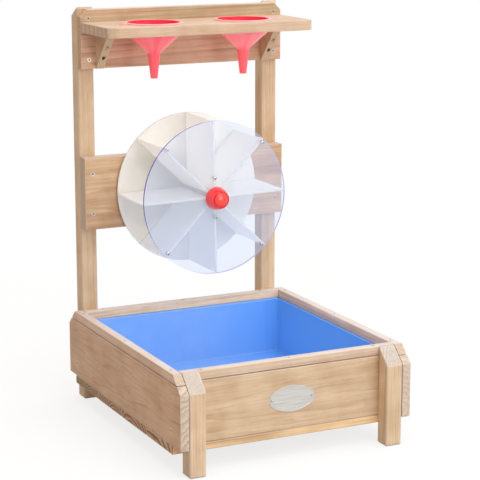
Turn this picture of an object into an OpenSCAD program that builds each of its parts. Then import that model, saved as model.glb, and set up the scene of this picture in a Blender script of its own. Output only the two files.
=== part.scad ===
// Water table: a timber box on legs that clamps a moulded tray, with tall rear
// posts that carry a paddle wheel on its axle and a shelf for two funnels.
// Millimetres, +Z up, front towards -Y, origin under the middle of the feet.

/* [Frame] */
// Width over the outer faces of the legs and posts
post_span = 504; // [470:1:600]
// Depth from the front of the legs to the back of the posts
frame_depth = 644; // [560:1:760]
// Height of the rear posts
post_h = 921; // [880:1:1040]
// Side of the square timber of the legs and posts
leg_w = 38; // [32:1:46]
// Drop of the slanted cut on the front legs and the ends of the side boards
leg_slant = 36; // [24:1:48]
// Drop of the slanted cut on top of the rear posts
post_slant = 22; // [10:1:36]
// Eased edge of the legs and posts
leg_ease = 2.5; // [1:0.5:5]
// Chamfer round the feet of the legs and posts
foot_ease = 3; // [1:0.5:6]
// Eased edge of the boards
board_ease = 1.2; // [0.4:0.2:3]

/* [Box] */
// Thickness of the boards round the tray
board_t = 20; // [18:1:26]
// Height of the wide boards
board_h = 134; // [100:1:180]
// Height of the rim strips
rim_h = 19.5; // [14:0.5:28]
// Thickness of the floor slats
slat_t = 18; // [14:1:24]
// Height of the slats above the ground
slat_clear = 44; // [20:1:90]
// Eased edge of the slats
slat_ease = 2.5; // [1:0.5:4]
// Open joint between two slats
slat_gap = 0.8; // [0.4:0.2:3]

/* [Tray] */
// Wall of the tray
tray_wall = 3; // [2:0.5:5]
// Radius of the tray's corners in plan at its floor
tray_corner = 3; // [1:0.5:40]
// Radius between the tray's floor and walls
tray_cove = 6; // [6:0.5:20]
// Lean of each tray wall over its height
tray_draft = 1.5; // [0.5:0.5:12]
// Width of the tray's flange that the rim strips clamp
tray_flange = 7; // [4:0.5:7]
// Thickness of the flange
tray_flange_t = 1.5; // [1:0.5:4]
// Gap between the tray and the boards round it
tray_gap = 1.5; // [0.5:0.5:4]

/* [Wheel board] */
// Height of the axle above the ground
axle_z = 497; // [460:1:540]
// Height of the board that carries the axle
wheel_board_h = 167; // [120:1:200]
// Thickness of that board
wheel_board_t = 32; // [24:1:40]

/* [Top board and shelf] */
// Height of the top board
top_board_h = 134; // [110:1:170]
// Thickness of the top board
top_board_t = 22; // [18:1:30]
// Corner cut off the top board
top_corner = 17; // [6:1:17]
// Height of the posts above the top board
post_reveal = 4; // [1:0.5:10]
// Depth of the shelf
shelf_depth = 174; // [160:1:200]
// Thickness of the shelf
shelf_t = 22; // [18:1:28]
// Distance of the shelf below the top edge of the top board
shelf_drop = 29; // [20:1:40]
// Radius of the shelf's front corners
shelf_corner = 25; // [10:1:40]
// Thickness of the brackets
bracket_t = 18.5; // [14:0.5:24]
// Reach of the brackets under the shelf
bracket_reach = 74; // [60:1:90]
// Distance from a shelf end to the middle of its bracket
bracket_inset = 44; // [34:1:48]
// Blunt tips of the brackets
bracket_nose = 4; // [2:0.5:8]

/* [Funnels] */
// Distance from a shelf end to the middle of its funnel
funnel_inset = 141; // [136:1:160]
// Outer diameter of the bowl, where it passes the shelf
funnel_bowl_d = 121; // [100:1:124]
// Width of the rim outside the bowl
funnel_lip = 5.5; // [4:0.5:8]
// Thickness of the rim
funnel_rim_t = 3; // [2:0.5:5]
// Depth of the bowl below the shelf's top face
funnel_bowl_h = 26; // [20:1:30]
// Taper of the bowl on the radius
funnel_bowl_taper = 1.5; // [0.5:0.5:4]
// Height of the cone
funnel_cone_h = 40; // [30:1:52]
// Outer diameter of the neck
funnel_neck_d = 29; // [22:1:36]
// Outer diameter of the spout's tip
funnel_tip_d = 16; // [13:1:20]
// Length of the spout
funnel_spout_l = 57; // [40:1:70]
// Wall of the funnels
funnel_wall = 2; // [1.5:0.5:3]
// Length of the hanging tab outside the rim
tab_l = 17; // [12:1:24]
// Width of the hanging tab
tab_w = 16; // [12:1:20]
// Hole in the hanging tab
tab_hole_d = 6; // [4:0.5:8]
// Gap between a funnel and its hole in the shelf
funnel_gap = 1.2; // [0.6:0.2:2]

/* [Paddle wheel] */
// Diameter of the wheel
wheel_d = 351; // [320:1:380]
// Length of the vanes between the two discs
vane_depth = 150; // [130:1:156]
// Thickness of the discs
disc_t = 5; // [3:0.5:8]
// Thickness of the vanes
vane_t = 4; // [3.5:0.5:8]
// Width over the flats of the eight-sided hub
hub_w = 28; // [24:1:36]
// Turn of the wheel at rest, in degrees
wheel_turn = 1.2; // [0:0.1:3]
// Gap between the wheel and its board
wheel_gap = 4; // [2.5:0.5:8]
// Distance of the vanes' ends from the wheel's edge
vane_in = 0.5; // [0:0.5:4]
// Distance of the outer cover screws from the wheel's edge
tip_screw_in = 8.5; // [6:0.5:20]
// Distance of the inner cover screws from the axis
hub_screw_r = 45; // [36:1:80]

/* [Axle] */
// Diameter of the bolt
bolt_d = 10; // [8:0.5:11]
// Outer diameter of the sleeve that the hub runs on
sleeve_d = 14; // [13:0.5:18]
// Running clearance of the hub on its sleeve, on the radius
run_clear = 0.06; // [0.02:0.01:0.1]
// End play of the wheel at each side
end_play = 0.4; // [0.3:0.1:0.8]
// Outer diameter of the washers and of the spacer
washer_d = 32; // [26:1:40]
// Thickness of the washers
washer_t = 2; // [1:0.5:3]
// Width of the bolt's head over the flats
bolt_head_w = 17; // [15:1:20]
// Height of the bolt's head
bolt_head_h = 6.5; // [5:0.5:9]
// Diameter of the knob at its back
knob_d = 53; // [40:1:66]
// Length of the knob
knob_l = 33; // [28:0.5:44]
// Difference between the knob's radius at the back and at its front cap
knob_taper = 8; // [3:0.5:10]
// Height of the domed front cap
knob_crown = 4.5; // [2:0.5:6]
// Eased back edge of the knob
knob_ease = 2; // [1:0.5:4]
// Depth of the bolt inside the knob
knob_grip = 12; // [8:1:14]

/* [Fasteners] */
// Shank diameter of the wood screws
screw_d = 4.5; // [3.5:0.5:5]
// Head diameter of the wood screws
screw_head_d = 9; // [7:0.5:10]
// Shank diameter of the cover screws
cover_screw_d = 2.9; // [2:0.1:3]
// Head diameter of the cover screws
cover_head_d = 8; // [5:0.5:9]
// Length of the cover screws
cover_screw_l = 20; // [14:1:30]
// Diameter of the rim nails
nail_d = 2.4; // [1.6:0.2:2.8]
// Head diameter of the rim nails
nail_head_d = 5; // [4:0.5:6]
// Length of the rim nails
nail_l = 44; // [36:1:46]
// Grip of each screw in the piece that it holds
screw_grip = 26; // [18:1:30]
// Clearance round every screw and nail
screw_clear = 0.1; // [0.05:0.05:0.2]
// Distance of the top board's screws from its long edges
top_screw_in = 20.5; // [16:0.5:30]
// Distance of the wheel board's screws from its long edges
wheel_screw_in = 37; // [20:1:50]
// Share of the board height below the lower side screws and above the upper ones
side_screw_share = 0.246; // [0.2:0.002:0.28]
// Share of the board height below the lower leg screws and above the upper ones
leg_screw_share = 0.396; // [0.37:0.002:0.42]
// Distance of the outer shelf screws from the shelf's ends
shelf_screw_in = 62; // [50:1:72]
// Distance of the slat screws from the long edges of their slat
slat_screw_in = 26; // [18:1:40]
// Distance of the bracket screws from the bracket's tips
bracket_screw_in = 26; // [23:1:30]
// Wood between the head of a bracket screw and the board that it grips
bracket_under_head = 12; // [8:1:16]
// Distance of the outer nails from the ends of the front and rear rims
front_nail_in = 47; // [30:1:80]
// Distance of the outer nails from the ends of the side rims
side_nail_in = 70; // [50:1:110]

/* [Hidden] */
$fn = 48;

// Overlap of a cut past the face that it opens
cut = 1;
// Thickness of the layers that a moulded shell is drawn over
skin = 0.01;

// Places across the width
side_in = post_span / 2;
side_out = side_in + board_t;
post_x = side_in - leg_w / 2;

// Places through the depth
leg_front = -frame_depth / 2;
post_back = frame_depth / 2;
box_out = frame_depth / 2 - leg_w;
box_in = box_out - board_t;
wheel_board_face = box_out - wheel_board_t;
top_face = box_out - top_board_t;
shelf_y = top_face - shelf_depth / 2;
wheel_back = wheel_board_face - wheel_gap;
vane_back = wheel_back - disc_t;
vane_front = vane_back - vane_depth;
wheel_front = vane_front - disc_t;
sleeve_front = wheel_front - end_play;
knob_back = sleeve_front - washer_t;

// Heights
board_z = slat_clear + slat_t;
board_top = board_z + board_h;
rim_z = board_top + tray_flange_t;
rim_top = rim_z + rim_h;
top_board_top = post_h - post_reveal;
top_board_z = top_board_top - top_board_h;
shelf_top = top_board_top - shelf_drop;
shelf_z = shelf_top - shelf_t;
bracket_h = shelf_z - top_board_z;

// Floor slats
slat_count = 4;
slat_pitch = 2 * box_out / slat_count;

// Paddle wheel
vane_count = 8;
vane_step = 360 / vane_count;
wheel_r = wheel_d / 2;
tip_screw_r = wheel_r - tip_screw_in;
disc_bore_r = sleeve_d / 2 + end_play;
hub_bore_r = sleeve_d / 2 + run_clear;

// Funnels
bowl_r = funnel_bowl_d / 2;
funnel_hole_r = bowl_r + funnel_gap;
funnel_x = side_in - funnel_inset;

// Wood screws: height of a countersunk head and length of the point
screw_head_h = (screw_head_d - screw_d) / 2;
screw_point = screw_d;
side_screw_in = board_h * side_screw_share;
leg_screw_in = board_h * leg_screw_share;
// Height of a nail's head
nail_head_h = nail_d / 2;
// Share of a board's thickness that a bracket screw grips
bracket_grip_share = 0.75;

// Cover screws: height of a pan head, height of its straight edge and radius of its crown
cover_head_h = cover_head_d / 3;
cover_edge_h = cover_head_h / 3;
cover_crown_r = cover_head_d / 3;

// Turns that point a fastener's head to the front, back, underside and sides
head_front = [90, 0, 0];
head_back = [-90, 0, 0];
head_below = [180, 0, 0];
head_right = [0, 90, 0];
head_left = [0, -90, 0];

// Places of the fasteners' heads
top_places = [for (x = [-1, 1], z = [top_board_z + top_screw_in, top_board_top - top_screw_in])
    [x * post_x, top_face, z]];
wheel_board_places = [for (x = [-1, 1], z = [-1, 1])
    [x * post_x, wheel_board_face, axle_z + z * (wheel_board_h / 2 - wheel_screw_in)]];
shelf_places = [for (x = [-1, 0, 1]) [x * (side_in - shelf_screw_in), box_out, shelf_z + shelf_t / 2]];
function side_places(side) = [for (y = [-1, 1], z = [board_z + side_screw_in, board_top - side_screw_in])
    [side * side_out, y * (box_in + box_out) / 2, z]];
function leg_places(y) = [for (x = [-1, 1], z = [board_z + leg_screw_in, board_top - leg_screw_in])
    [x * post_x, y * box_in, z]];
function slat_places(i) = [for (x = [-1, 1], y = [-1, 1])
    [x * (side_in + side_out) / 2, slat_y(i) + y * (slat_pitch / 2 - slat_screw_in), slat_clear]];
function slat_y(i) = (i - (slat_count + 1) / 2) * slat_pitch;
function front_nail_places(y) = [for (x = [-1, 0, 1])
    [x * (side_in - front_nail_in), y * (box_in + box_out) / 2, rim_top]];
function side_nail_places(side) = [for (y = [-1, 0, 1])
    [side * (side_in + side_out) / 2, y * (post_back - side_nail_in), rim_top]];
cover_places = concat(
    [for (a = [45 : 90 : 315]) [tip_screw_r, a + wheel_turn]],
    [for (a = [90, 270]) [hub_screw_r, a + wheel_turn]]
);

// Outline of a planed bar: a rectangle with its four corners eased
module eased(w, d, e) {
    polygon([
        [w / 2, d / 2 - e], [w / 2 - e, d / 2], [e - w / 2, d / 2], [-w / 2, d / 2 - e],
        [-w / 2, e - d / 2], [e - w / 2, -d / 2], [w / 2 - e, -d / 2], [w / 2, e - d / 2]
    ]);
}

// Square bar that stands on the ground, with eased long edges and a chamfered foot
module footed_bar(h) {
    intersection() {
        linear_extrude(h)
            eased(leg_w, leg_w, leg_ease);
        rotate([90, 0, 0])
            linear_extrude(leg_w, center = true)
                foot_outline(h);
        rotate([90, 0, 90])
            linear_extrude(leg_w, center = true)
                foot_outline(h);
    }
}

module foot_outline(h) {
    polygon([
        [foot_ease - leg_w / 2, 0], [leg_w / 2 - foot_ease, 0], [leg_w / 2, foot_ease],
        [leg_w / 2, h], [-leg_w / 2, h], [-leg_w / 2, foot_ease]
    ]);
}

// Board that runs from left to right, with its depth, height and eased edge
module board_x(l, d, h, ease = board_ease) {
    rotate([90, 0, 90])
        linear_extrude(l, center = true)
            eased(d, h, ease);
}

// Board that runs from front to back, with its width and height
module board_y(l, w, h) {
    rotate([90, 0, 0])
        linear_extrude(l, center = true)
            eased(w, h, board_ease);
}

// Rectangle with round corners
module rounded_rect(w, d, r) {
    square([w - 2 * r, d], center = true);
    square([w, d - 2 * r], center = true);
    for (x = [-1, 1], y = [-1, 1])
        translate([x * (w / 2 - r), y * (d / 2 - r)])
            circle(r, $fn = 32);
}

// Countersunk wood screw with its head at the origin, pointing down, grown by a clearance
module wood_screw(l, grow = 0) {
    r = screw_d / 2 + grow;
    head_r = screw_head_d / 2 + grow;
    rotate_extrude()
        polygon([
            [0, grow], [head_r, grow], [head_r, 0], [r, -screw_head_h],
            [r, screw_point - l], [0, -l - grow]
        ]);
}

module wood_screws(places, turn, l) {
    for (p = places)
        translate(p)
            rotate(turn)
                wood_screw(l);
}

module wood_screw_holes(places, turn, l) {
    for (p = places)
        translate(p)
            rotate(turn)
                wood_screw(l, screw_clear);
}

// Round nail with its flat head flush at the origin, pointing down
module nail(grow = 0) {
    r = nail_d / 2 + grow;
    head_r = nail_head_d / 2 + grow;
    rotate_extrude()
        polygon([
            [0, grow], [head_r, grow], [head_r, -nail_head_h - grow], [r, -nail_head_h - grow],
            [r, nail_d - nail_l], [0, -nail_l - grow]
        ]);
}

module nail_holes(places) {
    for (p = places)
        translate(p)
            nail(screw_clear);
}

// Wedge that cuts the slant off a board or leg end, for the front (-1) or the back (1)
module slant_cut(side, y_end, z_low, z_top, w) {
    rotate([90, 0, 90])
        linear_extrude(w, center = true)
            polygon([
                [side * (y_end + cut), z_low - cut * (z_top - z_low) / leg_w],
                [side * (y_end - leg_w), z_top],
                [side * (y_end - leg_w), z_top + cut],
                [side * (y_end + cut), z_top + cut]
            ]);
}

// Both slanted ends of a side board or rim
module side_slants() {
    for (side = [-1, 1])
        slant_cut(side, post_back, rim_top - leg_slant, rim_top, board_t + 2 * cut);
}

// Front leg with its slanted top, screwed from inside the box
module front_leg(side) {
    color("burlywood")
        difference() {
            translate([side * post_x, leg_front + leg_w / 2, 0])
                footed_bar(rim_top);
            translate([side * post_x, 0, 0])
                slant_cut(-1, post_back, rim_top - leg_slant, rim_top, leg_w + 2 * cut);
            wood_screw_holes(leg_places(-1), head_back, board_t + screw_grip);
        }
}

// Tall rear post that carries the wheel board and the top board
module rear_post(side) {
    color("burlywood")
        difference() {
            translate([side * post_x, post_back - leg_w / 2, 0])
                footed_bar(post_h);
            translate([side * post_x, 0, 0])
                slant_cut(1, post_back, post_h - post_slant, post_h, leg_w + 2 * cut);
            wood_screw_holes(leg_places(1), head_front, board_t + screw_grip);
            wood_screw_holes(wheel_board_places, head_front, wheel_board_t + screw_grip);
            wood_screw_holes(top_places, head_front, top_board_t + screw_grip);
        }
}

// Wide side board, screwed to the ends of the front and rear boards
module side_board(side) {
    color("burlywood")
        difference() {
            translate([side * (side_in + side_out) / 2, 0, board_z + board_h / 2])
                board_y(frame_depth, board_t, board_h);
            translate([side * (side_in + side_out) / 2, 0, 0])
                side_slants();
            wood_screw_holes(side_places(side), side > 0 ? head_right : head_left, board_t + screw_grip);
            for (i = [1 : slat_count])
                wood_screw_holes(slat_places(i), head_below, slat_t + screw_grip);
            nail_holes(side_nail_places(side));
        }
}

// Rim strip nailed over the tray's flange along a side
module side_rim(side) {
    color("wheat")
        difference() {
            translate([side * (side_in + side_out) / 2, 0, rim_z + rim_h / 2])
                board_y(frame_depth, board_t, rim_h);
            translate([side * (side_in + side_out) / 2, 0, 0])
                side_slants();
            nail_holes(side_nail_places(side));
        }
}

// Wide board across the front (-1) or the back (1) of the box
module cross_board(side) {
    color("burlywood")
        difference() {
            translate([0, side * (box_in + box_out) / 2, board_z + board_h / 2])
                board_x(post_span, board_t, board_h);
            wood_screw_holes(side_places(1), head_right, board_t + screw_grip);
            wood_screw_holes(side_places(-1), head_left, board_t + screw_grip);
            wood_screw_holes(leg_places(side), side > 0 ? head_front : head_back, board_t + screw_grip);
            nail_holes(front_nail_places(side));
        }
}

// Rim strip nailed over the tray's flange along the front (-1) or the back (1)
module cross_rim(side) {
    color("wheat")
        difference() {
            translate([0, side * (box_in + box_out) / 2, rim_z + rim_h / 2])
                board_x(post_span, board_t, rim_h);
            nail_holes(front_nail_places(side));
        }
}

// Floor slat under the boards and the tray
module floor_slat(i) {
    color("tan")
        difference() {
            translate([0, slat_y(i), slat_clear + slat_t / 2])
                board_x(2 * side_out, slat_pitch - slat_gap, slat_t, slat_ease);
            wood_screw_holes(slat_places(i), head_below, slat_t + screw_grip);
        }
}

// Tub of the tray at an inset from its outer face: leaning walls with a cove round the floor
module tray_tub(inset, top) {
    floor_z = board_z + inset;
    cove = tray_cove - inset;
    hull() {
        for (a = [0 : 22.5 : 90])
            tray_layer(floor_z + cove * (1 - cos(a)), inset, cove * (1 - sin(a)));
        tray_layer(top, inset, 0);
    }
}

// One level of the tub, drawn in by its cove and by the lean of the walls
module tray_layer(z, inset, cove) {
    lean = tray_draft * (1 - (z - board_z) / (rim_z - board_z));
    in = tray_gap + inset + cove + lean;
    translate([0, 0, z])
        linear_extrude(skin)
            rounded_rect(2 * (side_in - in), 2 * (box_in - in), tray_corner + tray_cove - inset - cove);
}

// Moulded tray that hangs by its flange between the boards and the rim strips
module tray() {
    color("cornflowerblue")
        difference() {
            union() {
                tray_tub(0, board_top);
                translate([0, 0, board_top])
                    linear_extrude(tray_flange_t)
                        square([2 * (side_in + tray_flange), 2 * (box_in + tray_flange)], center = true);
            }
            tray_tub(tray_wall, rim_z + cut);
        }
}

// Thick board across the posts, bored for the axle
module wheel_board() {
    color("burlywood")
        difference() {
            translate([0, box_out - wheel_board_t / 2, axle_z])
                board_x(post_span, wheel_board_t, wheel_board_h);
            axle_bore(bolt_d / 2 + screw_clear);
            wood_screw_holes(wheel_board_places, head_front, wheel_board_t + screw_grip);
        }
}

// Bore along the axle through everything
module axle_bore(r) {
    translate([0, post_back, axle_z])
        rotate([90, 0, 0])
            cylinder(h = frame_depth, r = r);
}

// Ring or bar on the axle between two places
module on_axle(y_back, y_front) {
    translate([0, y_back, axle_z])
        rotate([90, 0, 0])
            linear_extrude(y_back - y_front)
                children();
}

// Top board with its two upper corners cut
module top_board() {
    color("burlywood")
        difference() {
            translate([0, box_out - top_board_t / 2, top_board_z + top_board_h / 2])
                board_x(post_span, top_board_t, top_board_h);
            for (x = [-1, 1])
                translate([x * side_in, box_out - top_board_t / 2, top_board_top])
                    rotate([0, 45, 0])
                        cube([sqrt(2) * top_corner, top_board_t + 2 * cut, sqrt(2) * top_corner], center = true);
            wood_screw_holes(top_places, head_front, top_board_t + screw_grip);
            wood_screw_holes(shelf_places, head_back, top_board_t + screw_grip);
            for (side = [-1, 1])
                bracket_back_screw(side, screw_clear);
        }
}

// Shelf that butts on the top board, with round front corners and a hole for each funnel
module shelf() {
    color("wheat")
        difference() {
            translate([0, 0, shelf_z])
                linear_extrude(shelf_t)
                    difference() {
                        translate([0, shelf_y])
                            shelf_outline();
                        for (x = [-1, 1])
                            translate([x * funnel_x, shelf_y])
                                circle(funnel_hole_r, $fn = 96);
                    }
            wood_screw_holes(shelf_places, head_back, top_board_t + screw_grip);
            for (side = [-1, 1])
                bracket_up_screw(side, screw_clear);
        }
}

module shelf_outline() {
    translate([0, shelf_corner / 2])
        square([post_span, shelf_depth - shelf_corner], center = true);
    translate([0, (shelf_corner - shelf_depth) / 2])
        square([post_span - 2 * shelf_corner, shelf_corner], center = true);
    for (x = [-1, 1])
        translate([x * (side_in - shelf_corner), shelf_corner - shelf_depth / 2])
            circle(shelf_corner);
}

// Triangular bracket under the shelf, with two sunk screws in its slanted face
module bracket(side) {
    color("burlywood")
        difference() {
            translate([side * (side_in - bracket_inset), top_face, shelf_z])
                rotate([90, 0, 90])
                    linear_extrude(bracket_t, center = true)
                        polygon([
                            [0, 0], [-bracket_reach, 0], [-bracket_reach, -bracket_nose],
                            [-bracket_nose, -bracket_h], [0, -bracket_h]
                        ]);
            bracket_up_screw(side, screw_clear);
            bracket_back_screw(side, screw_clear);
            translate(bracket_up_place(side) - [0, 0, bracket_h])
                cylinder(h = bracket_h, d = screw_head_d + 2 * screw_clear);
            translate(bracket_back_place(side))
                rotate(head_front)
                    cylinder(h = bracket_reach, d = screw_head_d + 2 * screw_clear);
        }
}

function bracket_up_place(side) = [
    side * (side_in - bracket_inset),
    top_face - bracket_reach + bracket_screw_in,
    shelf_z - bracket_under_head
];

function bracket_back_place(side) = [
    side * (side_in - bracket_inset),
    top_face - bracket_under_head,
    top_board_z + bracket_screw_in
];

// Length of a bracket screw that stays inside the board that it grips
function bracket_screw_l(t) = bracket_under_head + t * bracket_grip_share;

module bracket_up_screw(side, grow = 0) {
    translate(bracket_up_place(side))
        rotate(head_below)
            wood_screw(bracket_screw_l(shelf_t), grow);
}

module bracket_back_screw(side, grow = 0) {
    translate(bracket_back_place(side))
        rotate(head_front)
            wood_screw(bracket_screw_l(top_board_t), grow);
}

// Moulded funnel that hangs by its rim in the shelf, with a hanging tab
module funnel(side) {
    cone_z = -funnel_bowl_h;
    neck_z = cone_z - funnel_cone_h;
    tip_z = neck_z - funnel_spout_l;
    low_r = bowl_r - funnel_bowl_taper;
    neck_r = funnel_neck_d / 2;
    tip_r = funnel_tip_d / 2;
    rim_r = bowl_r + funnel_lip;
    w = funnel_wall;
    color("tomato")
        translate([side * funnel_x, shelf_y, shelf_top]) {
            rotate_extrude($fn = 96)
                polygon([
                    [tip_r - w, tip_z], [tip_r, tip_z], [neck_r, neck_z], [low_r, cone_z],
                    [bowl_r, 0], [rim_r, 0], [rim_r, funnel_rim_t], [bowl_r - w, funnel_rim_t],
                    [low_r - w, cone_z + w / 2], [neck_r - w, neck_z + w / 2]
                ]);
            linear_extrude(funnel_rim_t)
                difference() {
                    hanging_tab(side, rim_r);
                    circle(bowl_r - w / 2, $fn = 96);
                    translate([side * (rim_r + tab_l - tab_w / 2), 0])
                        circle(d = tab_hole_d);
                }
        }
}

// Tongue outside the funnel's rim with a round end
module hanging_tab(side, rim_r) {
    end_x = rim_r + tab_l - tab_w / 2;
    translate([side * (bowl_r + end_x) / 2, 0])
        square([end_x - bowl_r, tab_w], center = true);
    translate([side * end_x, 0])
        circle(d = tab_w);
}

// Opal disc at the back of the paddle wheel
module wheel_back_disc() {
    color("ivory")
        on_axle(wheel_back, vane_back)
            difference() {
                circle(wheel_r, $fn = 120);
                circle(disc_bore_r);
            }
}

// Clear disc at the front of the paddle wheel, drilled for the cover screws
module wheel_front_disc() {
    color("lavender", 0.4)
        on_axle(vane_front, wheel_front)
            difference() {
                circle(wheel_r, $fn = 120);
                circle(disc_bore_r);
                for (p = cover_places)
                    rotate(p[1])
                        translate([p[0], 0])
                            circle(cover_screw_d / 2 + screw_clear, $fn = 24);
            }
}

// Eight-sided hub that runs on the axle sleeve, one flat for each vane
module wheel_hub() {
    color("ivory")
        on_axle(vane_back, vane_front)
            difference() {
                rotate(wheel_turn + vane_step / 2)
                    circle(hub_w / 2 / cos(vane_step / 2), $fn = vane_count);
                circle(hub_bore_r);
            }
}

// Flat vane from a flat of the hub to the wheel's edge
module wheel_vane(i) {
    color("white")
        difference() {
            on_axle(vane_back, vane_front)
                rotate((i - 1) * vane_step + wheel_turn)
                    translate([hub_w / 2, -vane_t / 2])
                        square([wheel_r - vane_in - hub_w / 2, vane_t]);
            cover_screws(screw_clear);
        }
}

// Bolt with a six-sided head behind the wheel board
module axle_bolt() {
    head_y = box_out + washer_t;
    color("silver") {
        on_axle(head_y, knob_back - knob_grip)
            circle(d = bolt_d);
        on_axle(head_y + bolt_head_h, head_y)
            circle(bolt_head_w / 2 / cos(30), $fn = 6);
    }
}

// Tube clamped between the wheel board and the knob, which the hub runs on
module axle_sleeve() {
    color("silver")
        on_axle(wheel_board_face, sleeve_front)
            ring(sleeve_d / 2, bolt_d / 2 + screw_clear);
}

module ring(outer_r, inner_r) {
    difference() {
        circle(outer_r);
        circle(inner_r);
    }
}

// Spacer on the sleeve between the wheel board and the wheel
module axle_spacer() {
    color("gainsboro")
        on_axle(wheel_board_face, wheel_back + end_play)
            ring(washer_d / 2, sleeve_d / 2 + screw_clear);
}

// Washers behind the wheel board and under the knob
module axle_washers() {
    color("silver") {
        on_axle(sleeve_front, knob_back)
            ring(washer_d / 2, bolt_d / 2 + screw_clear);
        on_axle(box_out + washer_t, box_out)
            ring(washer_d / 2, bolt_d / 2 + screw_clear);
    }
}

// Tapered knob with a domed cap, screwed on the end of the bolt
module knob() {
    r = knob_d / 2;
    cap_r = r - knob_taper;
    cap_y = knob_l - knob_crown;
    dome_r = (cap_r * cap_r + knob_crown * knob_crown) / (2 * knob_crown);
    color("red")
        difference() {
            translate([0, knob_back, axle_z])
                rotate([90, 0, 0])
                    rotate_extrude($fn = 96) {
                        polygon([[0, 0], [r - knob_ease, 0], [r, knob_ease], [cap_r, cap_y], [0, cap_y]]);
                        intersection() {
                            translate([0, cap_y])
                                square([cap_r, knob_crown]);
                            translate([0, knob_l - dome_r])
                                circle(dome_r);
                        }
                    }
            on_axle(knob_back + cut, knob_back - knob_grip - screw_clear)
                circle(bolt_d / 2 + screw_clear);
        }
}

// Pan-head screws that hold the clear disc on the edges of the vanes
module cover_screws(grow = 0) {
    r = cover_screw_d / 2 + grow;
    for (p = cover_places)
        translate([0, wheel_front, axle_z])
            rotate([0, -p[1], 0])
                translate([p[0], 0, 0])
                    rotate(head_front)
                        rotate_extrude($fn = 24)
                            polygon([
                                [0, cover_head_h], [cover_crown_r, cover_head_h],
                                [cover_head_d / 2, cover_edge_h],
                                [cover_head_d / 2, 0], [r, 0], [r, cover_screw_d - cover_screw_l],
                                [0, -cover_screw_l - grow]
                            ]);
}

module wheel_cover_screws() {
    color("silver")
        cover_screws();
}

module wheel_board_screws() {
    color("silver")
        wood_screws(wheel_board_places, head_front, wheel_board_t + screw_grip);
}

module top_board_screws() {
    color("silver")
        wood_screws(top_places, head_front, top_board_t + screw_grip);
}

module side_screws() {
    color("silver") {
        wood_screws(side_places(1), head_right, board_t + screw_grip);
        wood_screws(side_places(-1), head_left, board_t + screw_grip);
    }
}

module leg_screws() {
    color("silver") {
        wood_screws(leg_places(-1), head_back, board_t + screw_grip);
        wood_screws(leg_places(1), head_front, board_t + screw_grip);
    }
}

module shelf_screws() {
    color("silver")
        wood_screws(shelf_places, head_back, top_board_t + screw_grip);
}

module bracket_screws() {
    color("silver")
        for (side = [-1, 1]) {
            bracket_up_screw(side);
            bracket_back_screw(side);
        }
}

module slat_screws() {
    color("silver")
        for (i = [1 : slat_count])
            wood_screws(slat_places(i), head_below, slat_t + screw_grip);
}

module rim_nails() {
    color("gray")
        for (side = [-1, 1])
            for (p = concat(front_nail_places(side), side_nail_places(side)))
                translate(p)
                    nail();
}

front_leg(-1);  // front_leg_left
front_leg(1);  // front_leg_right
rear_post(-1);  // rear_post_left
rear_post(1);  // rear_post_right
side_board(-1);  // side_board_left
side_board(1);  // side_board_right
side_rim(-1);  // side_rim_left
side_rim(1);  // side_rim_right
cross_board(-1);  // front_board
cross_board(1);  // rear_board
cross_rim(-1);  // front_rim
cross_rim(1);  // rear_rim
for (i = [1 : slat_count])
    floor_slat(i);
tray();
wheel_board();
top_board();
shelf();
bracket(-1);  // bracket_left
bracket(1);  // bracket_right
funnel(-1);  // funnel_left
funnel(1);  // funnel_right
wheel_back_disc();
wheel_front_disc();
wheel_hub();
for (i = [1 : vane_count])
    wheel_vane(i);
axle_bolt();
axle_sleeve();
axle_spacer();
axle_washers();
knob();
wheel_cover_screws();
wheel_board_screws();
top_board_screws();
side_screws();
leg_screws();
shelf_screws();
bracket_screws();
slat_screws();
rim_nails();
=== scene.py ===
import bpy
import math
from mathutils import Euler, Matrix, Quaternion, Vector


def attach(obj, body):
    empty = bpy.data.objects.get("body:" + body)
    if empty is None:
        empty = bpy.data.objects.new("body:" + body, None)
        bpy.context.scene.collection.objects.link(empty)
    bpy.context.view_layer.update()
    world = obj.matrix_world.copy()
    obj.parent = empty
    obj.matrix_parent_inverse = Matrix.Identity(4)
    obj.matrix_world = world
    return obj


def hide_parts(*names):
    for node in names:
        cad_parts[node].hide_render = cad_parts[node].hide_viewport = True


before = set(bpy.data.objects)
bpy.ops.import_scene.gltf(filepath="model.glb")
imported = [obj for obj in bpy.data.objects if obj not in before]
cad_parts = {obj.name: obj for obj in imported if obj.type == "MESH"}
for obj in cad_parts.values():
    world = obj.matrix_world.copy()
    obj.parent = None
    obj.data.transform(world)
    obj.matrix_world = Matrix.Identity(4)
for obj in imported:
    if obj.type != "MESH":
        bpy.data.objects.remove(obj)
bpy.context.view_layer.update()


# Legs and posts
# Square bars of pale softwood, planed on four sides with eased edges and slanted tops.
# They are screwed to the box from inside, and stand on their sawn lower ends.
def linear(hex_code):
    """The linear colour that a shader takes, from an sRGB hex value."""
    shares = [int(hex_code[i:i + 2], 16) / 255 for i in (1, 3, 5)]
    return [c / 12.92 if c <= 0.04045 else ((c + 0.055) / 1.055) ** 2.4 for c in shares] + [1.0]


def add_node(material, kind, feeds=None, stops=None, out=0, **settings):
    """Adds a node with its settings and gives one of its outputs. A feed is a socket to link or a value to
    set. A mix takes its share at 0: numbers go in at 2 and 3 and come out at 0, colours go in at 6 and 7
    and come out at 2."""
    node = material.node_tree.nodes.new("ShaderNode" + kind)
    for key, value in settings.items():
        setattr(node, key, value)
    for key, value in (feeds or {}).items():
        if isinstance(value, bpy.types.NodeSocket):
            material.node_tree.links.new(value, node.inputs[key])
        else:
            node.inputs[key].default_value = value
    for i, (place, hex_code) in enumerate(stops or []):
        ramp = node.color_ramp.elements
        stop = ramp[i] if i < len(ramp) else ramp.new(place)
        stop.position = place
        stop.color = linear(hex_code)
    return node.outputs[out]


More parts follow.
